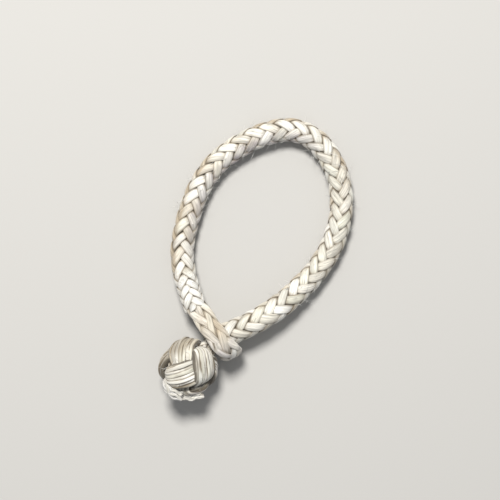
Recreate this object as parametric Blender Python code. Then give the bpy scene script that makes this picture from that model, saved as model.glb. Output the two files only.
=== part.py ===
# Closed soft shackle: a loop of 12-strand hollow-braid rope with one leg buried
# inside the other, an eye (noose) round the neck, and a two-strand diamond knot.
# Units are metres, +Z is up, the loop lies flat and +Y runs from knot to crown.
import math
import bpy
import bmesh
from mathutils import Matrix, Vector

# ------------------------------------------------------------------ dimensions
MM = 0.001
ROPE_D = 6.0          # nominal size of the bare rope
BODY_D = 9.5          # outer leg with the other leg buried in it
BORE_D = 6.6          # hollow of the outer leg
CORE_D = 5.9          # the buried leg
BODY_SIDES = 12
STATION = 3.6         # spacing of the cross-sections along the loop
GAP = 0.3             # clearance kept between touching pieces

KNOT_D = 22.9         # diamond knot across its widest place
KNOT_Z = 11.45        # its centre above the resting surface
KNOT_XY = (-7.65, -50.0)
NECK_XY = (-1.6, -34.9)   # middle of the eye, on the rope that it holds
NECK_Z = 10.0

KNOT_RADIUS = 8.1     # mean radius of the knot's strands
KNOT_WEAVE = 2.45      # in and out of the mean radius at each crossing
KNOT_RIM = 0.8        # how far the rim bights stand out
KNOT_LATITUDE = 56.0  # how far the bights reach towards the poles, degrees
KNOT_THICK = 3.8      # strand thickness, radially
KNOT_PHASE = 63.0     # turn of the weave about the knot's own axis, degrees
KNOT_WIDE = 5.0       # and across its run
HEART_D = 3.5         # two legs, or two tails, squeezed side by side in the knot's middle
MOUTH_D = 5.6         # the same pair where it leaves the outer leg, or the crown
CROWN_STUB = 12.0     # tails end this far from the knot's centre

EYE_THICK = 3.8       # rope of the eye, pressed flat round the neck
EYE_WIDTH = 8.8
EYE_CLEAR = 1.1       # slack between the neck and the eye
EYE_DIR = (0.6455, 0.7638)      # the eye slides this way, along the leg
THROAT_XY = (-14.1, -27.9)      # where the eye's two sides leave the outer leg
THROAT_Z = 9.5

# Route of the loop's centreline, from the knot's mouth to the eye's throat.
ROUTE = [
    (-3.2, -39.0, 10.3), (-1.6, -34.9, 10.0), (2.0, -30.8, 9.9), (6.4, -26.0, 9.9),
    (11.1, -20.0, 9.5), (15.9, -12.4, 8.0), (19.5, -4.8, 6.3), (23.2, 6.2, 4.95),
    (24.5, 18.0, 4.75), (22.5, 30.4, 4.75), (17.1, 41.0, 4.75), (9.7, 48.3, 4.75),
    (0.4, 52.6, 4.75), (-9.3, 52.0, 4.75), (-18.5, 45.5, 4.75), (-25.2, 37.5, 4.75),
    (-30.5, 28.0, 4.75), (-32.7, 16.0, 4.75), (-31.9, 4.0, 4.75), (-29.4, -7.5, 5.1),
    (-24.8, -16.3, 6.6), (-19.8, -22.2, 8.4), (-16.4, -25.9, 9.3), (-14.1, -27.9, 9.5),
]
# The model's origin: middle of its box, on the resting surface.
ORIGIN = (-4.115, -2.214, 0.0)


# ------------------------------------------------------------------ helpers
def clear_scene():
    for ob in list(bpy.data.objects):
        bpy.data.objects.remove(ob, do_unlink=True)


def vec(p):
    return Vector((p[0] - ORIGIN[0], p[1] - ORIGIN[1], p[2] - ORIGIN[2])) * MM


def catmull(points, per=24):
    """Centripetal Catmull-Rom curve through the points, finely sampled."""
    pts = [points[0] * 2 - points[1]] + list(points) + [points[-1] * 2 - points[-2]]
    out = []
    for i in range(1, len(pts) - 2):
        p0, p1, p2, p3 = pts[i - 1:i + 3]
        t0 = 0.0
        t1 = t0 + max((p1 - p0).length, 1e-9) ** 0.5
        t2 = t1 + max((p2 - p1).length, 1e-9) ** 0.5
        t3 = t2 + max((p3 - p2).length, 1e-9) ** 0.5
        for k in range(per):
            t = t1 + (t2 - t1) * k / per
            a1 = p0 * ((t1 - t) / (t1 - t0)) + p1 * ((t - t0) / (t1 - t0))
            a2 = p1 * ((t2 - t) / (t2 - t1)) + p2 * ((t - t1) / (t2 - t1))
            a3 = p2 * ((t3 - t) / (t3 - t2)) + p3 * ((t - t2) / (t3 - t2))
            b1 = a1 * ((t2 - t) / (t2 - t0)) + a2 * ((t - t0) / (t2 - t0))
            b2 = a2 * ((t3 - t) / (t3 - t1)) + a3 * ((t - t1) / (t3 - t1))
            out.append(b1 * ((t2 - t) / (t2 - t1)) + b2 * ((t - t1) / (t2 - t1)))
    out.append(points[-1].copy())
    return out


def stations(curve, step, trim0=0.0, trim1=0.0):
    """Evenly spaced points along a finely sampled curve, with its ends trimmed."""
    run = [0.0]
    for a, b in zip(curve, curve[1:]):
        run.append(run[-1] + (b - a).length)
    lo, hi = trim0, run[-1] - trim1
    n = max(2, round((hi - lo) / step))
    out, j = [], 0
    for i in range(n + 1):
        s = lo + (hi - lo) * i / n
        while j < len(run) - 2 and run[j + 1] < s:
            j += 1
        f = (s - run[j]) / max(run[j + 1] - run[j], 1e-12)
        out.append(curve[j].lerp(curve[j + 1], f))
    return out


def tangents(pts, first=None, last=None):
    out = []
    for i in range(len(pts)):
        a, b = pts[max(i - 1, 0)], pts[min(i + 1, len(pts) - 1)]
        out.append((b - a).normalized())
    if first is not None:
        out[0] = first.normalized()
    if last is not None:
        out[-1] = last.normalized()
    return out


def ring(centre, side, up, outline):
    return [centre + side * x + up * y for x, y in outline]


def polygon(diameter, sides):
    """Regular outline whose flats are the stated diameter apart, one flat below."""
    r = diameter / 2 / math.cos(math.pi / sides)
    step = 2 * math.pi / sides
    return [(r * math.cos(-math.pi / 2 + step * (k + 0.5)) * MM,
             r * math.sin(-math.pi / 2 + step * (k + 0.5)) * MM) for k in range(sides)]


def oval(width, thick, sides, power=2.4):
    out = []
    for k in range(sides):
        a = 2 * math.pi * (k + 0.5) / sides
        c, s = math.cos(a), math.sin(a)
        out.append((math.copysign(abs(c) ** (2 / power), c) * width / 2 * MM,
                    math.copysign(abs(s) ** (2 / power), s) * thick / 2 * MM))
    return out


def half_round(diameter, gap, upper, arc=7):
    """Half of a round section, split by a gap across its middle."""
    r, h = diameter / 2, gap / 2
    a0 = math.asin(h / r)
    pts = [(r * math.cos(a0 + (math.pi - 2 * a0) * k / (arc - 1)),
            r * math.sin(a0 + (math.pi - 2 * a0) * k / (arc - 1))) for k in range(arc)]
    if not upper:
        pts = [(-x, -y) for x, y in pts]
    return [(x * MM, y * MM) for x, y in pts]


def skin(rings, bore=None):
    """Closed solid through the rings; with bore rings it is an open-ended tube."""
    bm = bmesh.new()
    outer = [[bm.verts.new(p) for p in r] for r in rings]
    n = len(outer[0])

    def wall(loops, flip):
        for a, b in zip(loops, loops[1:]):
            for k in range(n):
                f = [a[k], a[(k + 1) % n], b[(k + 1) % n], b[k]]
                bm.faces.new(f[::-1] if flip else f)

    wall(outer, False)
    if bore is None:
        bm.faces.new(outer[0][::-1])
        bm.faces.new(outer[-1])
    else:
        inner = [[bm.verts.new(p) for p in r] for r in bore]
        wall(inner, True)
        for k in range(n):
            j = (k + 1) % n
            bm.faces.new([outer[0][j], outer[0][k], inner[0][k], inner[0][j]])
            bm.faces.new([outer[-1][k], outer[-1][j], inner[-1][j], inner[-1][k]])
    bmesh.ops.recalc_face_normals(bm, faces=bm.faces)
    return bm


def material(name, colour, roughness):
    mat = bpy.data.materials.new(name)
    mat.use_nodes = True
    bsdf = mat.node_tree.nodes["Principled BSDF"]
    bsdf.inputs["Base Color"].default_value = (*colour, 1.0)
    bsdf.inputs["Roughness"].default_value = roughness
    bsdf.inputs["Metallic"].default_value = 0.0
    return mat


def finish(bm, name, colour, roughness=0.6, parent=None, location=None):
    me = bpy.data.meshes.new(name)
    bm.to_mesh(me)
    bm.free()
    me.shade_smooth()
    me.set_sharp_from_angle(angle=math.radians(40))
    ob = bpy.data.objects.new(name, me)
    ob.data.materials.append(material(name, colour, roughness))
    bpy.context.scene.collection.objects.link(ob)
    if parent is not None:
        ob.parent = parent
    if location is not None:
        ob.location = location
    return ob


def empty(name, matrix):
    e = bpy.data.objects.new(name, None)
    e.empty_display_size = 0.01
    e.matrix_world = matrix
    bpy.context.scene.collection.objects.link(e)
    return e


# ------------------------------------------------------------------ frames
UP = Vector((0, 0, 1))
knot_c = vec((*KNOT_XY, KNOT_Z))
neck_c = vec((*NECK_XY, NECK_Z))
mouth = vec(ROUTE[0])
throat = vec(ROUTE[-1])
neck_axis = (neck_c - knot_c).normalized()           # out of the knot, into the loop
slide_dir = Vector((*EYE_DIR, 0)).normalized()
nose_dir = Vector((slide_dir.y, -slide_dir.x, 0))    # from the throat across the neck

# ------------------------------------------------------------------ loop
def flat_frames(pts, first=None, last=None):
    """Side and up directions of each cross-section, the up one leaning with the slope."""
    out = []
    for t in tangents(pts, first, last):
        side = t.cross(UP).normalized()
        out.append((side, side.cross(t).normalized()))
    return out


def build_loop():
    route = catmull([vec(p) for p in ROUTE])
    body = polygon(BODY_D, BODY_SIDES)
    bore = polygon(BORE_D, BODY_SIDES)
    core = polygon(CORE_D, BODY_SIDES)
    pts = stations(route, STATION * MM)
    for p in pts:
        p.z = max(p.z, BODY_D / 2 * MM)                # never below the resting surface
    fr = flat_frames(pts, neck_axis, nose_dir)
    finish(skin([ring(p, s, u, body) for p, (s, u) in zip(pts, fr)],
                [ring(p, s, u, bore) for p, (s, u) in zip(pts, fr)]),
           "outer_sleeve", (0.74, 0.69, 0.58))
    inner = pts[:]
    inner[0] = pts[0] + neck_axis * GAP * MM
    inner[-1] = pts[-1] - nose_dir * GAP * MM
    finish(skin([ring(p, s, u, core) for p, (s, u) in zip(inner, fr)]),
           "buried_core", (0.66, 0.61, 0.50))


# ------------------------------------------------------------------ eye
def build_eye():
    holder = empty("eye_axis", Matrix.Translation(neck_c))
    rho = BODY_D / 2 + EYE_CLEAR + EYE_THICK / 2
    q0 = (throat - neck_c).dot(nose_dir) / MM          # the throat, across the neck
    skew = (throat - neck_c).dot(slide_dir) / (q0 * MM)
    zt = THROAT_Z - NECK_Z

    def place(q, z):
        return (nose_dir * q + slide_dir * (q * skew) + UP * z) * MM

    for name, sign, rise, colour in (("eye_over_leg", 1, 2.2, (0.78, 0.72, 0.60)),
                                     ("eye_under_leg", -1, 2.2, (0.70, 0.65, 0.54))):
        path = [place(q0 + GAP, zt + sign * rise), place(q0 + 2.8, zt + sign * (rise + 0.5)),
                place(q0 + 5.9, (zt + sign * 4.0) if sign > 0 else -4.35)]
        for deg in (128, 106, 84, 62, 40, 20):
            a = math.radians(deg)
            path.append(place(rho * math.cos(a), sign * rho * math.sin(a)))
        path.append(place(rho, sign * GAP / 2))
        pts = stations(catmull(path), 2.0 * MM)
        tan = tangents(pts, nose_dir, UP * -sign)
        outline = oval(EYE_WIDTH, EYE_THICK, 12)
        rings = []
        for p, t in zip(pts, tan):
            wide = (slide_dir - t * slide_dir.dot(t)).normalized()
            rings.append(ring(p, wide, wide.cross(t).normalized(), outline))
        finish(skin(rings), name, colour, parent=holder)
    return holder


# ------------------------------------------------------------------ knot
def knot_point(t):
    """Three-lead, four-bight weave on a ball; t runs once round the closed path."""
    turn, wave = -3 * 2 * math.pi * t, 4 * 2 * math.pi * t
    lat = math.radians(KNOT_LATITUDE) * math.cos(wave)
    weave = math.tanh(2 * math.sin(2 * wave)) / math.tanh(2)    # over, then under
    r = KNOT_RADIUS + KNOT_WEAVE * weave + KNOT_RIM * math.cos(wave) ** 4
    turn += math.radians(KNOT_PHASE)
    return Vector((math.cos(lat) * math.cos(turn), math.cos(lat) * math.sin(turn),
                   math.sin(lat))) * r * MM


def build_knot():
    # local +Z points from the knot's centre to its crown, where the tails come out
    z = -neck_axis
    x = UP.cross(z).normalized()
    y = z.cross(x)
    frame = Matrix.Translation(knot_c) @ Matrix((x, y, z)).transposed().to_4x4()
    holder = empty("knot_axis", frame)

    start = (3 * math.pi / 4) / (8 * math.pi)          # ends are hidden under a crossing
    for name, half, colour in (("knot_strand_a", 0, (0.80, 0.75, 0.64)),
                               ("knot_strand_b", 1, (0.72, 0.66, 0.55))):
        fine = [knot_point(start + 0.5 * (half + k / 600)) for k in range(601)]
        pts = stations(fine, 2.2 * MM, 0.75 * GAP * MM, 0.75 * GAP * MM)
        rings = []
        for p, t in zip(pts, tangents(pts, fine[2] - fine[0], fine[-1] - fine[-3])):
            out = (p - t * p.dot(t)).normalized()
            rim = (math.asin(p.normalized().z) / math.radians(KNOT_LATITUDE)) ** 2
            wide = KNOT_WIDE * (1 - 0.32 * rim)
            rings.append(ring(p, t.cross(out), out, oval(wide, KNOT_THICK, 10, 2.4)))
        finish(skin(rings), name, colour, parent=holder)

    neck_end = (mouth - knot_c).length / MM - GAP
    slim, full = HEART_D, MOUTH_D
    neck = ((-neck_end, full), (-10.8, full), (-8.6, slim), (-3.8, slim))
    for name, upper, profile, colour in (
            ("neck_leg_a", True, neck, (0.76, 0.71, 0.60)),
            ("neck_leg_b", False, neck, (0.68, 0.63, 0.52)),
            ("tail_a", True, ((-3.5, slim), (8.4, slim), (10.2, full), (CROWN_STUB, full)),
             (0.82, 0.78, 0.68)),
            ("tail_b", False, ((-3.5, slim), (8.4, slim), (10.2, full), (CROWN_STUB - 0.8, full)),
             (0.70, 0.64, 0.53))):
        rings = [ring(Vector((0, 0, h * MM)), Vector((1, 0, 0)), Vector((0, 1, 0)),
                      half_round(d, GAP, upper)) for h, d in profile]
        finish(skin(rings), name, colour, parent=holder)
    return holder


clear_scene()
build_loop()
build_eye()
build_knot()
bpy.context.view_layer.update()
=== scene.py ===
# Closed soft shackle of 12-strand hollow braid: sleeve and eye braided strand by strand, diamond knot of flattened rope.
import bpy
import math
import numpy as np
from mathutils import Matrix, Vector


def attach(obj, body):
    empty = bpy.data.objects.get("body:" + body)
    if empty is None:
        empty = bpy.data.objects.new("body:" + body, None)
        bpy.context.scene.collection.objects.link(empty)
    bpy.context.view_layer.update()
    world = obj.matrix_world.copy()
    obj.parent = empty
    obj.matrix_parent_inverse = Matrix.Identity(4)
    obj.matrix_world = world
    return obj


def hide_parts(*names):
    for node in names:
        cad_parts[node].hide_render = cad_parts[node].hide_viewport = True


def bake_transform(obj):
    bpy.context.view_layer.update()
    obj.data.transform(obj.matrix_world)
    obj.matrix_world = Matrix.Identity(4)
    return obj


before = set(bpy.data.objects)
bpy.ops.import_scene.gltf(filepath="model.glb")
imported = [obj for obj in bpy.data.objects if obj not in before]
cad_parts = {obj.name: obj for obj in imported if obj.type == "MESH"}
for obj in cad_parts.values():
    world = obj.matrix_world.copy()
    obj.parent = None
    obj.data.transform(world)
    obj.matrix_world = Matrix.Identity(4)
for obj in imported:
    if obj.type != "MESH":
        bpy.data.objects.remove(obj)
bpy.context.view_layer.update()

TAU = 2 * math.pi
ORIGIN = np.array((-4.115, -2.214, 0.0))

# ------------------------------------------------------------------ sizes, mm (positions are the CAD's own)
BODY_R = 4.75
SLEEVE_R = 3.80        # middle of the sleeve's wall
SLEEVE_WEAVE = 0.46
STRAND_W = 3.24
STRAND_T = 0.96
LAY = 35.5
ROUTE = np.array([
    (-3.2, -39.0, 10.3), (-1.6, -34.9, 10.0), (2.0, -30.8, 9.9), (6.4, -26.0, 9.9),
    (11.1, -20.0, 9.5), (15.9, -12.4, 8.0), (19.5, -4.8, 6.3), (23.2, 6.2, 4.95),
    (24.5, 18.0, 4.75), (22.5, 30.4, 4.75), (17.1, 41.0, 4.75), (9.7, 48.3, 4.75),
    (0.4, 52.6, 4.75), (-9.3, 52.0, 4.75), (-18.5, 45.5, 4.75), (-25.2, 37.5, 4.75),
    (-30.5, 28.0, 4.75), (-32.7, 16.0, 4.75), (-31.9, 4.0, 4.75), (-29.4, -7.5, 5.1),
    (-24.8, -16.3, 6.6), (-19.8, -22.2, 8.4), (-16.4, -25.9, 9.3), (-14.1, -27.9, 9.5)]) - ORIGIN
KNOT_C = np.array((-7.65, -50.0, 11.45)) - ORIGIN
NECK_C = np.array((-1.6, -34.9, 10.0)) - ORIGIN
UP = np.array((0.0, 0.0, 1.0))


def unit(v):
    v = np.asarray(v, float)
    return v / np.maximum(np.linalg.norm(v, axis=-1, keepdims=True), 1e-12)


NECK_AXIS = unit(NECK_C - KNOT_C)
SLIDE = unit(np.array((0.6455, 0.7638, 0.0)))
NOSE = np.array((SLIDE[1], -SLIDE[0], 0.0))
MOUTH, THROAT = ROUTE[0], ROUTE[-1]


# ------------------------------------------------------------------ curves
def catmull(points, per=30):
    """Centripetal Catmull-Rom curve through the points."""
    p = np.asarray(points, float)
    p = np.vstack([p[0] * 2 - p[1], p, p[-1] * 2 - p[-2]])
    out = []
    for i in range(1, len(p) - 2):
        p0, p1, p2, p3 = p[i - 1:i + 3]
        t0 = 0.0
        t1 = t0 + np.linalg.norm(p1 - p0) ** 0.5
        t2 = t1 + np.linalg.norm(p2 - p1) ** 0.5
        t3 = t2 + np.linalg.norm(p3 - p2) ** 0.5
        t = (t1 + (t2 - t1) * np.arange(per) / per)[:, None]
        a1 = p0 * ((t1 - t) / (t1 - t0)) + p1 * ((t - t0) / (t1 - t0))
        a2 = p1 * ((t2 - t) / (t2 - t1)) + p2 * ((t - t1) / (t2 - t1))
        a3 = p2 * ((t3 - t) / (t3 - t2)) + p3 * ((t - t2) / (t3 - t2))
        b1 = a1 * ((t2 - t) / (t2 - t0)) + a2 * ((t - t0) / (t2 - t0))
        b2 = a2 * ((t3 - t) / (t3 - t1)) + a3 * ((t - t1) / (t3 - t1))
        out.append(b1 * ((t2 - t) / (t2 - t1)) + b2 * ((t - t1) / (t2 - t1)))
    out.append(p[-2][None])
    return np.vstack(out)


def run_length(p):
    return np.r_[0, np.cumsum(np.linalg.norm(np.diff(p, axis=0), axis=1))]


def resample(p, step):
    d = run_length(p)
    n = max(3, int(round(d[-1] / step)) + 1)
    q = np.linspace(0, d[-1], n)
    return np.stack([np.interp(q, d, p[:, k]) for k in range(3)], 1)


def smooth(p, times):
    p = p.copy()
    for _ in range(times):
        p[1:-1] = (p[:-2] + 2 * p[1:-1] + p[2:]) / 4
    return p


def tangent(p):
    return unit(np.gradient(p, axis=0))


def step01(x):
    x = np.clip(x, 0, 1)
    return x * x * (3 - 2 * x)


class Tube:
    """A centreline with a cross-section frame; a and b are the half-width along side and along up."""

    def __init__(self, line, side, up, a, b):
        self.p, self.s = line, run_length(line)
        self.side, self.up = side, up
        n = len(line)
        self.a, self.b = np.broadcast_to(a, (n,)) * 1.0, np.broadcast_to(b, (n,)) * 1.0
        ratio = float(np.mean(self.b / self.a))
        psi = np.linspace(0, TAU, 721)
        arc = np.r_[0, np.cumsum(np.hypot(np.diff(np.cos(psi)), ratio * np.diff(np.sin(psi))))]
        self.psi, self.arc = psi, arc / arc[-1] * TAU
        self.round = abs(ratio - 1) < 0.01
        self.radius = float(np.mean(self.a)) * arc[-1] / TAU
        self.length = float(self.s[-1])

    def _at(self, q, table):
        if table.ndim == 1:
            return np.interp(q, self.s, table)
        return np.stack([np.interp(q, self.s, table[:, k]) for k in range(3)], -1)

    def place(self, s, theta, h):
        c, u, v = self._at(s, self.p), self._at(s, self.side), self._at(s, self.up)
        a, b = self._at(s, self.a), self._at(s, self.b)
        if self.round:
            psi = theta
        else:
            psi = np.interp(np.mod(theta, TAU), self.arc, self.psi)
        cs, sn = np.cos(psi), np.sin(psi)
        nx, ny = cs / np.maximum(a, 1e-6), sn / np.maximum(b, 1e-6)
        nl = np.hypot(nx, ny)
        nx, ny = nx / nl, ny / nl
        return c + u * (a * cs + h * nx)[..., None] + v * (b * sn + h * ny)[..., None]


# ------------------------------------------------------------------ irregularity
def wander(rng, s, amp, wave):
    out = 0
    for k in range(4):
        out = out + rng.uniform(0.4, 1.0) * np.sin(TAU * s / (wave * rng.uniform(0.6, 1.7)) + rng.uniform(0, TAU))
    return amp * out / 1.9


def hash_noise(p, scale, seed=0):
    """Smooth value noise in space, made of a few waves: about -1 to 1."""
    r = np.random.default_rng(900 + seed)
    out = 0
    for k in range(7):
        d = unit(r.normal(size=3)) * r.uniform(0.6, 1.8) / scale
        out = out + np.sin(TAU * (p @ d) + r.uniform(0, TAU) + 1.3 * np.sin(TAU * (p @ np.roll(d, 1)) * 0.7))
    return out / 3.2


# ------------------------------------------------------------------ strands
def outline(top=13, under=5):
    """Across a strand: flat-bottomed, rounded on top, with the ridges of its yarns added later."""
    xt = np.sin(np.linspace(-1, 1, top) * math.pi / 2)
    yt = (1 - np.abs(xt) ** 2.6) ** 0.62
    xb = -np.sin(np.linspace(-1, 1, under + 2)[1:-1] * math.pi / 2)
    yb = -0.8 * (1 - np.abs(xb) ** 2.4) ** 0.6
    return np.r_[xt, xb], np.r_[yt, yb]


class Mesh:
    """Gathers strips of rings into one mesh with a Rope UV map (millimetres) and a tint per point."""

    def __init__(self):
        self.v, self.f, self.uv, self.t, self.n = [], [], [], [], 0

    def rings(self, grid, u, v, tint, flip=False):
        m, k = grid.shape[:2]
        idx = (self.n + np.arange(m * k)).reshape(m, k)
        a, b = idx[:-1], idx[1:]
        quad = np.stack([a, b, np.roll(b, -1, 1), np.roll(a, -1, 1)], -1).reshape(-1, 4)
        self.f.append(quad[:, ::-1] if flip else quad)
        self.v.append(grid.reshape(-1, 3))
        self.uv.append(np.stack([np.broadcast_to(u, (m, k)), np.broadcast_to(v, (m, k))], -1).reshape(-1, 2))
        self.t.append(np.broadcast_to(tint, (m, k, 3)).reshape(-1, 3))
        self.n += m * k

    def build(self, name, mat):
        v = np.vstack(self.v)
        v[:, 2] = np.where(v[:, 2] < 0.25, 0.05 + 0.2 * np.exp((np.minimum(v[:, 2], 0.25) - 0.25) / 0.2), v[:, 2])
        v = v * 0.001
        f = np.vstack(self.f)
        uv, t = np.vstack(self.uv), np.vstack(self.t)
        me = bpy.data.meshes.new(name)
        me.vertices.add(len(v))
        me.vertices.foreach_set("co", v.astype(np.float32).ravel())
        me.loops.add(len(f) * 4)
        me.loops.foreach_set("vertex_index", f.astype(np.int32).ravel())
        me.polygons.add(len(f))
        me.polygons.foreach_set("loop_start", np.arange(0, len(f) * 4, 4, dtype=np.int32))
        me.update(calc_edges=True)
        me.polygons.foreach_set("use_smooth", np.ones(len(f), bool))
        layer = me.uv_layers.new(name="Rope")
        layer.data.foreach_set("uv", uv[f.ravel()].astype(np.float32).ravel())
        col = me.attributes.new("tint", "FLOAT_COLOR", "POINT")
        col.data.foreach_set("color", np.c_[np.clip(t, 0, 1), np.ones(len(t))].astype(np.float32).ravel())
        me.validate()
        ob = bpy.data.objects.new(name, me)
        ob.data.materials.append(mat)
        bpy.context.scene.collection.objects.link(ob)
        return ob


SERIAL = [0]


def braid(mesh, tube, s0, s1, colour, lay, width, thick, weave, boundary, per=6, phase=0.0, seed=1, step=0.55,
          rough=1.0, sharp=1.5, taper0=0.0, taper1=0.0, families=(1, -1), lay_at=None, ridges=3.5, top=13,
          loose=None, weave_at=None, leaf=0.09):
    """Strands of two families, wound each way round the tube, over two and under two.
    boundary is the angle of a line between two columns of floats, where the strands of both families part as s grows."""
    x, y = outline(top, 5)
    half = per / 2
    fine = np.linspace(0, tube.length, 1200)
    pitch = np.full_like(fine, lay) if lay_at is None else lay_at(fine)
    turns = np.r_[0, np.cumsum(0.5 * (1 / pitch[1:] + 1 / pitch[:-1]) * np.diff(fine))]
    for g in families:
        for i in range(per):
            rng = np.random.default_rng(seed * 1000 + (i + 10 * (g > 0)) * 17)
            ww, tt = rng.normal(1, 0.035 * rough), rng.normal(1, 0.05 * rough)
            shade = rng.normal(0, 0.025, 3) * 0.4 + rng.normal(0, 0.03)
            n1, n2, n3, n4 = (np.random.default_rng(rng.integers(1 << 30)) for _ in range(4))
            m = max(4, int(round((s1 - s0) / step)) + 1)
            s = np.linspace(s0, s1, m)
            lo = 1.0 if loose is None else 1 + loose(s)
            th = phase + TAU * i / per + g * TAU * np.interp(s, fine, turns)
            th = th + lo * wander(n1, s, 0.022 * rough, 26)
            turning = half * (th - boundary) - g * 0.5 * math.pi
            column = np.cos(turning)
            which = np.round(turning / TAU)
            tone = np.modf(np.abs(np.sin(which * 12.9898 + i * 78.233 + g * 37.719 + seed) * 43758.5453))[0]
            wave = np.tanh(sharp * column) / math.tanh(sharp)
            amp = weave if weave_at is None else weave * weave_at(s)
            h = amp * wave + lo * wander(n2, s, 0.045 * rough, 15)
            float_ = np.clip(column, 0, 1) ** 0.6                    # 1 in the middle of a float, 0 where it dives
            w = width * ww * (1 - leaf + 2 * leaf * float_ + wander(n3, s, 0.035 * rough, 17) * lo)
            t = thick * tt * (1 + 0.05 * wave + wander(n4, s, 0.05 * rough, 13) * lo)
            grow = np.ones(m)
            if taper0:
                grow = grow * np.sqrt(np.clip((s - s0) / taper0, 0.0004, 1))
            if taper1:
                grow = grow * np.sqrt(np.clip((s1 - s) / taper1, 0.0004, 1))
            local = np.interp(s, fine, pitch)
            alpha = np.arctan(TAU * tube.radius / local)
            nominal = math.atan(TAU * tube.radius / lay)
            w = w * (local * np.sin(alpha)) / (lay * math.sin(nominal))
            xs = x[None, :] * (w * grow / 2)[:, None]
            ys = y[None, :] * (t * grow / 2)[:, None]
            ridge = 0.5 + 0.5 * np.cos(TAU * (ridges * 0.5 * x[None, :] + 0.02 * s[:, None] * (1 + 0.3 * i) + 0.37 * i))
            ys = ys - np.where(y[None, :] > 0, 0.075 * (thick / 0.96) * ridge * (1 - np.abs(x[None, :]) ** 3), 0)
            ss = s[:, None] - g * xs * np.sin(alpha)[:, None]
            tth = th[:, None] + xs * np.cos(alpha)[:, None] / tube.radius
            grid = tube.place(ss, tth, h[:, None] + ys)
            SERIAL[0] += 1
            uvu = xs + 9.0 * SERIAL[0]
            uvv = (s / np.cos(alpha))[:, None] + 0 * xs
            depth = (h[:, None] + ys - (thick / 2 + weave)) / (thick + 2 * weave)       # 0 at the crests, about -1 within
            tint = colour(grid, ss, tth, depth, shade, np.abs(x)[None, :] * (y > -0.3)[None, :], tone[:, None], column[:, None])
            mesh.rings(grid, uvu, uvv, tint)


def filler(mesh, tube, s0, s1, shrink, tint, seed=5, sides=20, step=1.2):
    """Felted mass inside a strand tube, ridged lengthways, so that nothing shows through its seams; its dark tint is
    painted shade.
    """
    m = max(4, int((s1 - s0) / step))
    s = np.linspace(s0, s1, m)[:, None] + np.zeros((1, sides))
    th = np.linspace(0, TAU, sides, endpoint=False)[None, :] + 0.03 * s
    h = -shrink + 0.18 * np.sin(5 * th + 0.2 * s) + 0.1 * np.sin(9 * th - 0.5 * s)
    end = np.ones((m, 1))
    end[0] = end[-1] = 0.02
    grid = tube.place(s, th, h)
    mid = grid.mean(axis=1, keepdims=True)
    grid = mid + (grid - mid) * end[..., None]
    SERIAL[0] += 1
    mesh.rings(grid, th * 3 + 9.0 * SERIAL[0], s, np.array(tint)[None, None, :])


# ------------------------------------------------------------------ colour of the rope, linear
CREAM = np.array((0.79, 0.755, 0.655))
WHITE = np.array((0.88, 0.87, 0.83))
TAN = np.array((0.45, 0.355, 0.235))
# darkest crevice colour: dirt in the gaps together with painted shade
SHADE_AND_DIRT = np.array((0.20, 0.165, 0.115))
GREY = np.array((0.50, 0.46, 0.475))


def mix(a, b, f):
    f = np.clip(f, 0, 1)[..., None]
    return a * (1 - f) + b * f


def rope_colour(stain, base=CREAM, dirt_and_shade=1.0, seed=0, white_and_highlight=None, grey=None, vary=0.14, ends=0.5):
    def colour(p, s, th, depth, shade, edge, tone, column):
        n1, n2 = hash_noise(p, 14, seed), hash_noise(p, 5.5, seed + 1)
        c = base[None, None, :] * (1 + shade)[None, None, :] * (1 + 0.04 * n2)[..., None]
        c = mix(c, WHITE, np.clip(1.5 * (tone - 0.45), 0, 1) * 0.8 + 0 * n1)
        c = c * (1 + vary * (tone - 0.6))[..., None]
        if grey is not None:
            # the grey mix is painted shade on the loop's inner side and at the eye's nose; on the knot it greys the +KX
            # side
            c = mix(c, GREY, grey(p, s, th) * (0.6 + 0.4 * n1 + 0.3 * n2))
        st = stain(p, s, th)
        c = mix(c, TAN, np.clip(st * (0.45 + 0.45 * n1) * 0.5 + 0.4 * st * (tone < 0.35), 0, 0.85))
        # whiter fibres with a painted highlight, where the caller gives it
        if white_and_highlight is not None:
            c = mix(c, WHITE, white_and_highlight(p, s, th))
        # painted shade with some dirt: dark holes where each float ends and the strand dives under
        dive_shade_and_dirt = step01((0.42 - column) / 0.42) * (column > -0.35)
        c = mix(c, TAN * 0.8, dive_shade_and_dirt * (0.55 + 0.3 * n1) * ends * dirt_and_shade)
        # painted shade with some dirt: the strand's edges darken along the seams between strands
        seam_dirt_and_shade = step01((edge - 0.60) / 0.36)
        c = mix(c, TAN * 0.46, seam_dirt_and_shade * np.clip(0.62 + 0.25 * n1 + 0.3 * st, 0, 1) * dirt_and_shade)
        # painted shade with some dirt: the strand darkens where it lies low, under its neighbours
        c = mix(c, TAN * 0.48, step01((-depth - 0.24) / 0.20) * np.clip(0.8 + 0.2 * n1, 0, 1) * dirt_and_shade)
        c = mix(c, SHADE_AND_DIRT * 0.55, step01((-depth - 0.42) / 0.22) * np.clip(0.85 + 0.2 * n2, 0, 1) * dirt_and_shade)
        return c
    return colour


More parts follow.
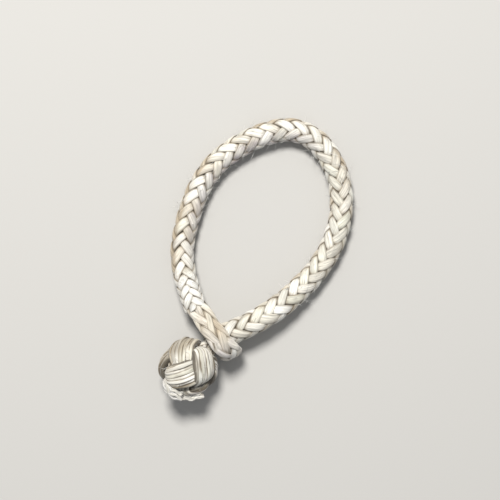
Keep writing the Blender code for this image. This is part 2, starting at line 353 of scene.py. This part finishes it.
# ------------------------------------------------------------------ materials
def rope_material(name, tint=(1, 1, 1), fibre=2.6, bump=0.75, rough=0.58, sheen=0.25, coarse=0.6):
    mat = bpy.data.materials.new(name)
    mat.use_nodes = True
    nt = mat.node_tree
    nodes, links = nt.nodes, nt.links
    bsdf = nodes["Principled BSDF"]
    uv = nodes.new("ShaderNodeUVMap")
    uv.uv_map = "Rope"
    att = nodes.new("ShaderNodeAttribute")
    att.attribute_name = "tint"

    def stretched(along):
        m = nodes.new("ShaderNodeVectorMath")
        m.operation = "MULTIPLY"
        m.inputs[1].default_value = (1.0, along, 1.0)
        links.new(uv.outputs["UV"], m.inputs[0])
        return m.outputs[0]

    def noise(vec, scale, detail, dist=0.0):
        n = nodes.new("ShaderNodeTexNoise")
        n.inputs["Scale"].default_value = scale
        n.inputs["Detail"].default_value = detail
        n.inputs["Roughness"].default_value = 0.6
        n.inputs["Distortion"].default_value = dist
        links.new(vec, n.inputs["Vector"])
        return n.outputs["Fac"]

    fine = noise(stretched(0.07), fibre, 4.0, 0.25)
    broad = noise(stretched(0.05), fibre * 0.28, 2.0, 0.4)
    blot = noise(stretched(1.0), 0.16, 3.0)

    def ramp(fac, lo, hi, a, b):
        r = nodes.new("ShaderNodeMapRange")
        r.inputs["From Min"].default_value = lo
        r.inputs["From Max"].default_value = hi
        r.inputs["To Min"].default_value = a
        r.inputs["To Max"].default_value = b
        links.new(fac, r.inputs["Value"])
        return r.outputs["Result"]

    def times(a, b):
        m = nodes.new("ShaderNodeMath")
        m.operation = "MULTIPLY"
        links.new(a, m.inputs[0])
        links.new(b, m.inputs[1])
        return m.outputs[0]

    light = times(times(ramp(fine, 0.3, 0.62, 0.60, 1.07), ramp(broad, 0.3, 0.62, 0.74, 1.05)),
                  ramp(blot, 0.3, 0.7, 0.93, 1.03))
    scaled = nodes.new("ShaderNodeVectorMath")
    scaled.operation = "SCALE"
    links.new(att.outputs["Color"], scaled.inputs[0])
    links.new(light, scaled.inputs["Scale"])
    warm = nodes.new("ShaderNodeVectorMath")
    warm.operation = "MULTIPLY"
    warm.inputs[1].default_value = tint
    links.new(scaled.outputs[0], warm.inputs[0])
    links.new(warm.outputs[0], bsdf.inputs["Base Color"])
    height = nodes.new("ShaderNodeMath")
    height.operation = "MULTIPLY_ADD"
    links.new(broad, height.inputs[0])
    height.inputs[1].default_value = coarse
    links.new(fine, height.inputs[2])
    bmp = nodes.new("ShaderNodeBump")
    bmp.inputs["Strength"].default_value = bump
    bmp.inputs["Distance"].default_value = 0.00035
    links.new(height.outputs[0], bmp.inputs["Height"])
    links.new(bmp.outputs["Normal"], bsdf.inputs["Normal"])
    links.new(ramp(fine, 0.3, 0.7, rough + 0.14, rough - 0.08), bsdf.inputs["Roughness"])
    bsdf.inputs["Sheen Weight"].default_value = sheen
    bsdf.inputs["Sheen Roughness"].default_value = 0.5
    bsdf.inputs["Specular IOR Level"].default_value = 0.35
    return mat


outer_mat = rope_material("rope_outer_weave")
# the core's material is greyed a little, as painted shade
core_mat = rope_material("rope_core_weave", tint=(0.86, 0.85, 0.82), rough=0.65)
eye_mat = rope_material("rope_eye_fibre", fibre=3.0, bump=0.55)
knot_mat = rope_material("rope_knot_fibre", fibre=2.8, bump=0.6)
tail_mat = rope_material("rope_tail_yarn", fibre=4.0, bump=0.5, rough=0.62)

# ------------------------------------------------------------------ the loop
line = resample(catmull(ROUTE), 0.5)
line[:, 2] = np.maximum(line[:, 2], BODY_R)
line = smooth(line, 8)
tan = tangent(line)
ends = [(0, NECK_AXIS), (-1, NOSE)]
dist = run_length(line)
for k, d in ends:
    w = np.clip(1 - np.abs(dist - dist[k]) / 3.0, 0, 1)[:, None]
    tan = unit(tan * (1 - w) + d * w)
side = unit(np.cross(tan, UP))
up = unit(np.cross(side, tan))
L = float(dist[-1])
flare = step01((dist - (L - 3.0)) / 3.0) * 0.35
broad = 0.18 * (1 - step01((dist - 30) / 30))
gather = 0.85 * (1 - step01(dist / 4.0))               # the sleeve draws in where it enters the knot
body = Tube(line, side, up, SLEEVE_R + flare + broad - gather, SLEEVE_R + flare - gather)
body.round = True
core = Tube(line, side, up, 2.15, 2.15)
print("loop length", round(L, 2))

NECK_END, LEG_START = 21.0, L - 36.0
BOUNDARY = math.radians(93)
PHASE = math.radians(18)


def stain_loop(p, s, th):
    outer = 0.5 + 0.5 * np.cos(th)
    crown = np.exp(-((s - 135) / 32) ** 2) * outer * 0.7
    left = step01((s - 160) / 20) * (0.25 + 0.25 * outer)
    rim = step01((np.cos(th) - 0.42) / 0.45) * (0.45 + 1.15 * step01((s - 75) / 50))
    inner = step01((-np.cos(th) - 0.6) / 0.35) * 0.7 * (1 - step01((s - 85) / 30))
    return 0.10 + crown + left + rim + inner


def loose_leg(s):
    return 2.3 * np.exp(-((s - 189) / 14) ** 2)


def lay_loop(s):
    return LAY * (1 + 0.06 * np.exp(-((s - 45) / 25) ** 2) - 0.40 * step01((s - (L - 16)) / 7))


def weave_loop(s):
    return 1 - 0.35 * step01((s - (L - 14)) / 8)


def shade_grey_loop(p, s, th):
    # painted shade: grey on the inner side of the crown and the left leg
    inner = step01((-np.cos(th) + 0.25) / 0.9)
    return inner * (1.0 * np.exp(-((s - 140) / 30) ** 2) + 0.6 * np.exp(-((s - 178) / 14) ** 2)) + 0.10


def throat_white_and_highlight(p, s, th):
    # whiter fibres towards the throat, with a painted highlight on the top side
    return 0.75 * step01((s - (L - 17)) / 6) * (0.35 + 0.65 * step01((np.sin(th) + 0.3) / 0.8))


loop_colour = rope_colour(stain_loop, seed=3, white_and_highlight=throat_white_and_highlight, grey=shade_grey_loop)
# painted shade: the buried core is tinted dark, as it lies in the sleeve's shade
shaded_core_colour = rope_colour(lambda p, s, th: 0.8 + 0 * s, base=CREAM * 0.45, dirt_and_shade=0.9, seed=8, vary=0.05)
SLEEVE = dict(lay=LAY, width=STRAND_W, thick=STRAND_T, weave=SLEEVE_WEAVE, boundary=BOUNDARY, phase=PHASE, seed=4,
              loose=loose_leg, lay_at=lay_loop, weave_at=weave_loop)
CORE = dict(lay=24.0, width=1.75, thick=0.7, weave=0.28, boundary=BOUNDARY, phase=0.3, seed=6, top=7, ridges=1.5)

for fam, name in ((1, "sleeve_strands_s"), (-1, "sleeve_strands_z")):
    m = Mesh()
    braid(m, body, NECK_END, LEG_START, loop_colour, families=(fam,), **SLEEVE)
    ob = m.build(name, outer_mat)
    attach(ob, "loop")
    if fam == 1:
        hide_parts("outer_sleeve")

m = Mesh()
braid(m, core, NECK_END, LEG_START, shaded_core_colour, step=0.9, **CORE)
filler(m, core, NECK_END, LEG_START, 0.55, SHADE_AND_DIRT * 0.6)
core_ob = m.build("core_braid", core_mat)
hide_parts("buried_core")
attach(core_ob, "loop")

m = Mesh()
braid(m, body, LEG_START, L + 0.2, loop_colour, taper1=1.6, **SLEEVE)
braid(m, core, LEG_START, L - 4, shaded_core_colour, step=0.9, **CORE)
filler(m, core, LEG_START, L - 4, 0.55, SHADE_AND_DIRT * 0.6)
leg_end = m.build("leg_end_braid", outer_mat)

m = Mesh()
braid(m, body, 0.0, NECK_END, loop_colour, taper0=1.4, **SLEEVE)
braid(m, core, 4.0, NECK_END, shaded_core_colour, step=0.9, **CORE)
filler(m, core, 4.0, NECK_END, 0.55, SHADE_AND_DIRT * 0.6)
neck_braid = m.build("neck_braid", outer_mat)


def along(q):
    return np.array([np.interp(q, dist, line[:, k]) for k in range(3)])


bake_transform(leg_end)
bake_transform(neck_braid)

# ------------------------------------------------------------------ the eye
RHO = BODY_R + 1.1 + 1.9
Q0 = float((THROAT - NECK_C) @ NOSE)
SKEW = float((THROAT - NECK_C) @ SLIDE) / Q0
ZT = 9.5 - 10.0


def at_eye(q, z, lift=0.0):
    return NECK_C + NOSE * q + SLIDE * (q * SKEW) + UP * z


path = [at_eye(Q0 - 4.0, ZT + 1.5), at_eye(Q0 - 1.2, ZT + 1.9), at_eye(Q0 + 2.4, ZT + 2.65), at_eye(Q0 + 5.9, ZT + 4.0)]
path += [at_eye(RHO * math.cos(math.radians(d)), RHO * math.sin(math.radians(d)))
         for d in (128, 106, 84, 62, 40, 20, 0, -20, -40, -62, -84, -106, -128)]
path += [at_eye(Q0 + 5.9, -4.35), at_eye(Q0 + 2.4, ZT - 2.65), at_eye(Q0 - 1.2, ZT - 1.9), at_eye(Q0 - 4.0, ZT - 1.5)]
eline = smooth(resample(catmull(path), 0.4), 20)
eline = eline + SLIDE * 0.35
et = tangent(eline)
eside = unit(SLIDE - et * (et @ SLIDE)[:, None])
eup = unit(np.cross(eside, et))
es = run_length(eline)
EL = float(es[-1])
inside = 1 - step01(np.minimum(es, EL - es) / 6.0)
fan = np.exp(-((es - 0.46 * EL) / 12) ** 2)
ea = 3.55 - 0.95 * inside + 0.55 * fan
eb = 1.42 - 0.25 * inside
eye = Tube(eline, eside, eup, ea, eb)


def stain_eye(p, s, th):
    return 0.95 * np.exp(-((s - 12) / 9) ** 2) + 0.18 + 0.5 * step01((4.5 - s) / 3)


def shade_grey_eye(p, s, th):
    # painted shade: grey where the eye's nose turns under
    return 0.55 * np.exp(-((s - 27) / 7) ** 2) + 0.1


def lay_eye(s):
    return 62 - 29 * np.exp(-((s - 29) / 9) ** 2)


def loose_eye(s):
    return 1 + 1.2 * np.exp(-((s - 24) / 10) ** 2)


eye_colour = rope_colour(stain_eye, base=CREAM * 1.0, dirt_and_shade=0.85, seed=12, grey=shade_grey_eye)
m = Mesh()
braid(m, eye, 0, EL, eye_colour, lay=62.0, width=2.85, thick=0.86, weave=0.26, boundary=math.radians(82), phase=0.1,
      seed=21, step=0.45, rough=2.0, sharp=1.2, taper0=2, taper1=2, lay_at=lay_eye, loose=loose_eye)
filler(m, eye, 0.5, EL - 0.5, 0.55, CREAM * 0.4)
eye_ob = m.build("eye_braid", eye_mat)
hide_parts("eye_over_leg", "eye_under_leg")
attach(eye_ob, "eye")

# ------------------------------------------------------------------ the knot
KZ = -NECK_AXIS
KX = unit(np.cross(UP, KZ))
KY = np.cross(KZ, KX)
KR, KWEAVE, KRIM, KLAT, KPHASE, KSHEAR = 8.2, 1.4, 0.6, math.radians(54), math.radians(53), math.radians(15)


def knot_local(t):
    turn, wave = -3 * TAU * t + KPHASE, 4 * TAU * t
    lat = KLAT * np.cos(wave)
    turn = turn - KSHEAR * np.cos(wave)
    weave = np.tanh(1.7 * np.sin(2 * wave)) / math.tanh(1.7)
    r = KR + KWEAVE * weave + KRIM * np.cos(wave) ** 4
    p = np.stack([np.cos(lat) * np.cos(turn), np.cos(lat) * np.sin(turn), np.sin(lat)], -1) * r[:, None]
    return p, weave, lat / KLAT


def knot_world(p):
    return KNOT_C + p[:, :1] * KX + p[:, 1:2] * KY + p[:, 2:] * KZ




def knot_stain_and_shadow(p, s, th):
    local = p - KNOT_C
    # tan stain, with a painted shadow darkening the -KX side next to the leg
    return 0.35 + 0.5 * step01((-(local @ KX) - 3.5) / 5)


def grey_knot(p, s, th):
    local = p - KNOT_C
    return 0.12 + 0.6 * step01(((local @ KX) - 5) / 5)


plain_knot = rope_colour(knot_stain_and_shadow, base=CREAM * 0.97, dirt_and_shade=1.0, seed=31, vary=0.24, ends=0.0, grey=grey_knot)


def knot_colour(p, s, th, depth, shade, edge, tone, column):
    c = plain_knot(p, s, th, depth, shade, edge, tone, column)
    local = p - KNOT_C
    # painted shadow with some dirt on the -KX side, and painted shade in the folds and along band edges
    shadow = step01((-(local @ KX) - 4.2) / 5) * 0.7
    # painted shade: the inner, lower parts of the bands darken
    inner = step01((9.3 - np.linalg.norm(local, axis=-1)) / 1.5) * 0.8
    fold_shade = step01((np.abs(np.cos(th)) - 0.975) / 0.022) * 0.92
    c = mix(mix(c, SHADE_AND_DIRT * 1.3, shadow), SHADE_AND_DIRT * 0.5, fold_shade)
    gap_shade = step01((edge - 0.5) / 0.35) * np.clip(0.6 + 0.6 * hash_noise(p, 4, 9), 0, 1)
    c = mix(c, TAN * 0.36, gap_shade)
    return mix(c, SHADE_AND_DIRT, inner)
start = (3 * math.pi / 4) / (8 * math.pi)
for half, name in ((0, "knot_strand_a"), (1, "knot_strand_b")):
    t = np.linspace(start + 0.5 * half - 0.004, start + 0.5 * (half + 1) + 0.004, 900)
    p, weave, rim = knot_local(t)
    d = run_length(p)
    q = np.linspace(0, d[-1], int(d[-1] / 0.5))
    p = np.stack([np.interp(q, d, p[:, k]) for k in range(3)], 1)
    weave, rim = np.interp(q, d, weave), np.interp(q, d, rim)
    p = smooth(p, 6)
    kt = tangent(p)
    out = unit(p - kt * np.sum(p * kt, 1, keepdims=True))
    ks = np.cross(kt, out)
    rng = np.random.default_rng(90 + half)
    lumps = wander(rng, q, 0.22, 11)
    p = p * (1 + 0.026 * wander(rng, q, 1.0, 9)[:, None])           # a hand-tied knot is never even
    wide = 4.35 * (1 + 0.17 * weave) * (1 - 0.24 * rim ** 2) * (1 + 0.35 * lumps)
    flat = (0.95 + 0.08 * weave + 0.20 * rim ** 2) * (1 + 0.6 * lumps)
    world = knot_world(p)
    turn3 = np.stack([KX, KY, KZ])
    tube = Tube(world, ks @ turn3, out @ turn3, wide, flat)
    m = Mesh()
    braid(m, tube, 0, tube.length, knot_colour, lay=330.0, width=1.5, thick=1.05, weave=0.16,
          boundary=math.radians(88), phase=0.2 + half, seed=41 + half, step=0.55, rough=3.6, sharp=1.0, taper0=1.5, taper1=1.5,
          per=14, families=(1,), leaf=0.02, ridges=2.0)
    filler(m, tube, 0.6, tube.length - 0.6, 0.42, SHADE_AND_DIRT)
    ob = m.build(name + "_braid", knot_mat)
    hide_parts(name)
    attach(ob, "knot")
    print(name, "length", round(tube.length, 1))

# legs of the rope through the knot's middle, twisted a little round each other
neck_len = float(np.linalg.norm(MOUTH - KNOT_C))
heart = Mesh()
heart_colour = rope_colour(lambda p, s, th: 0.45 + 0 * s, base=CREAM * 0.85, dirt_and_shade=1.0, seed=51)
for side_of in (0, 1):
    z = np.linspace(-neck_len - 2.5, 9.5, 60)
    ang = math.pi * side_of + 0.6 + 0.05 * z
    rad = np.interp(z, [-neck_len - 2.5, -neck_len - 0.3, -neck_len + 1.0, -9, -4, 9.5], [1.0, 1.1, 1.55, 1.65, 1.9, 1.9])
    pl = np.stack([rad * np.cos(ang), rad * np.sin(ang), z], 1)
    pl = resample(pl, 0.5)
    lt = tangent(pl)
    ls = unit(np.cross(lt, np.broadcast_to((0.2, 1.0, 0.1), lt.shape)))
    lu = np.cross(ls, lt)
    r0 = np.interp(pl[:, 2], [-neck_len - 2.5, -neck_len - 0.3, -neck_len + 1.0, -8, 9.5], [1.0, 1.1, 1.6, 1.75, 1.7])
    tube = Tube(knot_world(pl), ls @ turn3, lu @ turn3, r0, r0)
    braid(heart, tube, 0, tube.length, heart_colour, lay=26, width=1.5, thick=0.7, weave=0.22, boundary=1.2, phase=0.4,
          seed=61 + side_of, step=0.7, top=9, ridges=1.5, taper0=1, taper1=1)
    filler(heart, tube, 0.3, tube.length - 0.3, 0.35, CREAM * 0.3, sides=12)
# felted middle, tinted dark as painted shade inside the knot
n_lat, n_lon = 18, 30
la = np.linspace(-1.45, 1.45, n_lat)[:, None]
lo = np.linspace(0, TAU, n_lon, endpoint=False)[None, :]
ball = np.stack([np.cos(la) * np.cos(lo), np.cos(la) * np.sin(lo), np.sin(la) + 0 * lo], -1)
rad = 6.4 + 0.5 * hash_noise(ball * 6, 5, 3) + 0.25 * np.sin(7 * lo + 5 * la)
ball = ball * rad[..., None]
grid = KNOT_C + ball[..., :1] * KX + ball[..., 1:2] * KY + ball[..., 2:] * KZ
heart.rings(grid, lo * 6 + 0 * la, la * 8 + 0 * lo, CREAM * 0.30)
heart_ob = heart.build("knot_heart", knot_mat)
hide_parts("neck_leg_a", "neck_leg_b")
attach(heart_ob, "knot")

# ------------------------------------------------------------------ cut tails
# each tail is a bundle of yarns that leaves the crown, lies down on it and ends in a rough, half-fused tuft
TAILS = {
    "tail_a": [(-1.2, 1.0, 4.5), (-1.6, 2.2, 8.6), (-0.6, 3.4, 10.7), (2.2, 3.6, 11.0), (4.9, 3.2, 9.9), (6.2, 3.0, 8.9)],
    "tail_b": [(1.4, 0.6, 4.5), (3.4, 0.8, 8.6), (5.9, 1.4, 9.3), (8.4, 2.2, 7.4), (9.9, 2.8, 4.7), (10.5, 3.0, 2.9)],
}
for name, route in TAILS.items():
    rng = np.random.default_rng(77 if name == "tail_a" else 78)
    m = Mesh()
    spine = resample(catmull(np.array(route)), 0.4)
    sd = run_length(spine)
    stt = tangent(spine)
    sa = unit(np.cross(stt, np.broadcast_to((0.0, 1.0, 0.0), stt.shape)))
    sb = np.cross(sa, stt)
    for k in range(46):
        a, r = rng.uniform(0, TAU), math.sqrt(rng.uniform(0.03, 1))
        end = sd[-1] - abs(rng.normal(0, 1.3)) + 0.4
        q = np.linspace(0.0, end, 24)
        c = np.stack([np.interp(q, sd, spine[:, j]) for j in range(3)], 1)
        aa = np.stack([np.interp(q, sd, sa[:, j]) for j in range(3)], 1)
        bb = np.stack([np.interp(q, sd, sb[:, j]) for j in range(3)], 1)
        spread_ = np.interp(q / sd[-1], [0, 0.55, 0.85, 1.05], [0.8, 0.9, 1.15, 1.5])
        wob = 0.4 * np.sin(q * rng.uniform(0.7, 1.8) + a)
        pl = c + aa * ((1.9 * r * math.cos(a)) * spread_ + wob)[:, None] + bb * ((1.25 * r * math.sin(a)) * spread_ - 0.6 * wob)[:, None]
        yt = tangent(pl)
        ysd = unit(np.cross(yt, np.broadcast_to((0.1, 1.0, 0.2), yt.shape)))
        yu = np.cross(ysd, yt)
        rr = rng.uniform(0.26, 0.56)
        th = np.linspace(0, TAU, 11, endpoint=False)
        swell = np.interp(q, [0, end - 1.6, end - 0.5, end - 0.1, end], [0.9, 0.95, 1.25, 0.9, 0.05])
        ring_r = rr * swell[:, None] * (1 + 0.12 * np.cos(5 * th[None, :] + 0.9 * q[:, None]) + 0.1 * np.sin(3 * q[:, None] + k))
        loc = pl[:, None, :] + ysd[:, None, :] * (ring_r * np.cos(th))[..., None] + yu[:, None, :] * (ring_r * np.sin(th))[..., None]
        grid = KNOT_C + loc[..., :1] * KX + loc[..., 1:2] * KY + loc[..., 2:] * KZ
        SERIAL[0] += 1
        tone = mix(CREAM, mix(WHITE, GREY, np.array(0.3)), np.array(rng.uniform(0.1, 1.0))) * rng.uniform(0.62, 0.95)
        f = np.clip((q - end + 0.5) / 0.5, 0, 1) * 0.5 + np.clip((7 - q) / 4, 0, 1) * 0.7
        tn = mix(np.broadcast_to(tone, grid.shape), TAN * 0.8, np.broadcast_to(f[:, None], grid.shape[:2]))
        m.rings(grid, th[None, :] * rr + 9.0 * SERIAL[0], q[:, None], tn, flip=True)
    ob = m.build(name + "_yarns", tail_mat)
    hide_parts(name)
    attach(ob, "knot")


# ------------------------------------------------------------------ loose filaments
def filaments(name, samples, count, seed, body_name, mat, length=(1.2, 4.5)):
    """samples is (points, outward, along), arrays of places on the rope that a hair may leave from."""
    rng = np.random.default_rng(seed)
    pts, out, run = samples
    m = Mesh()
    th = np.linspace(0, TAU, 3, endpoint=False)
    for k in rng.integers(0, len(pts), count):
        n = 9
        ln = rng.uniform(*length)
        q = np.linspace(0, 1, n)
        d = unit(run[k] * rng.choice((-1, 1)) * rng.uniform(0.4, 1.0) + out[k] * rng.uniform(0.15, 0.75) + rng.normal(0, 0.35, 3))
        bend = unit(rng.normal(size=3)) * rng.uniform(0.2, 0.9)
        pl = pts[k] - out[k] * 0.15 + ln * (q[:, None] * d + (q ** 2)[:, None] * bend * 0.5)
        pt = tangent(pl)
        a = unit(np.cross(pt, np.broadcast_to((0.3, 0.5, 0.8), pt.shape)))
        b = np.cross(pt, a)
        r = rng.uniform(0.045, 0.085) * np.interp(q, [0, 0.8, 1], [1, 0.7, 0.1])
        grid = pl[:, None, :] + a[:, None, :] * (r[:, None] * np.cos(th))[..., None] + b[:, None, :] * (r[:, None] * np.sin(th))[..., None]
        SERIAL[0] += 1
        m.rings(grid, 9.0 * SERIAL[0] + th[None, :] * 0.1, (q * ln)[:, None], np.broadcast_to(WHITE * rng.uniform(0.8, 1.0), grid.shape))
    ob = m.build(name, mat)
    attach(ob, body_name)
    return ob


def shell_samples(tube, s0, s1, h, lo_th, hi_th, n=4000, seed=1):
    rng = np.random.default_rng(seed)
    s, th = rng.uniform(s0, s1, n), rng.uniform(lo_th, hi_th, n)
    p = tube.place(s, th, np.full(n, h))
    q = tube.place(s, th, np.full(n, h + 1.0))
    return p, q - p, np.stack([np.interp(s, tube.s, tangent(tube.p)[:, k]) for k in range(3)], 1)


filaments("loop_filaments", shell_samples(body, NECK_END + 4, LEG_START - 4, 0.7, -0.4, math.pi + 0.4, seed=5), 330, 15, "loop",
          outer_mat)
filaments("eye_filaments", shell_samples(eye, 6, EL - 6, 0.4, 0.25, math.pi - 0.25, seed=6), 70, 16, "eye", eye_mat, (1.0, 3.2))
rng_k = np.random.default_rng(8)
dirs = unit(rng_k.normal(size=(3000, 3)))
filaments("knot_filaments", (KNOT_C + dirs * 10.6, dirs, unit(np.cross(dirs, rng_k.normal(size=(3000, 3))))), 110, 17, "knot",
          knot_mat, (1.0, 3.0))


print("cord lengths", round(LEG_START - NECK_END, 1), round(EL, 1))

# ------------------------------------------------------------------ floor, lamps, camera
floor = bpy.data.meshes.new("floor")
size = 1.6
floor.from_pydata([(-size, -size, 0), (size, -size, 0), (size, size, 0), (-size, size, 0)], [], [(0, 1, 2, 3)])
floor_ob = bpy.data.objects.new("floor", floor)
bpy.context.scene.collection.objects.link(floor_ob)
fm = bpy.data.materials.new("floor_pale")
fm.use_nodes = True
fm.node_tree.nodes["Principled BSDF"].inputs["Base Color"].default_value = (0.45, 0.44, 0.42, 1)
fm.node_tree.nodes["Principled BSDF"].inputs["Roughness"].default_value = 0.9
floor.materials.append(fm)

scene = bpy.context.scene
scene.view_settings.view_transform = "Standard"
world = bpy.data.worlds.new("studio")
world.use_nodes = True
world.node_tree.nodes["Background"].inputs["Color"].default_value = (0.93, 0.96, 1.0, 1)
world.node_tree.nodes["Background"].inputs["Strength"].default_value = 0.40
scene.world = world

ROLL = math.radians(24)
right = Vector((math.cos(ROLL), math.sin(ROLL), 0))
top = Vector((-math.sin(ROLL), math.cos(ROLL), 0))


def lamp(name, toward, height_deg, dist_m, size_m, watts, colour=(1, 1, 1)):
    data = bpy.data.lights.new(name, "AREA")
    data.shape = "DISK"
    data.size = size_m
    data.energy = watts
    data.color = colour
    ob = bpy.data.objects.new(name, data)
    e = math.radians(height_deg)
    pos = Vector(toward) * math.cos(e) * dist_m + Vector((0, 0, 1)) * math.sin(e) * dist_m
    ob.location = pos
    ob.rotation_euler = (-pos).to_track_quat("-Z", "Y").to_euler()
    bpy.context.scene.collection.objects.link(ob)


lamp("key", top * 0.97 - right * 0.25, 62, 1.2, 0.34, 21.3, (1.0, 0.985, 0.955))

cam_data = bpy.data.cameras.new("camera")
cam_data.sensor_width = 36.0
dist_m, look_z = 0.70, 0.0055
cam_data.lens = 18.0 / (0.099 / (dist_m - look_z))
cam_data.clip_start, cam_data.clip_end = 0.01, 10
cam = bpy.data.objects.new("camera", cam_data)
from mathutils import Matrix
cam.matrix_world = Matrix.Translation((-0.00022, 0.00419, dist_m)) @ Matrix((right, top, Vector((0, 0, 1)))).transposed().to_4x4()
bpy.context.scene.collection.objects.link(cam)
scene.camera = cam
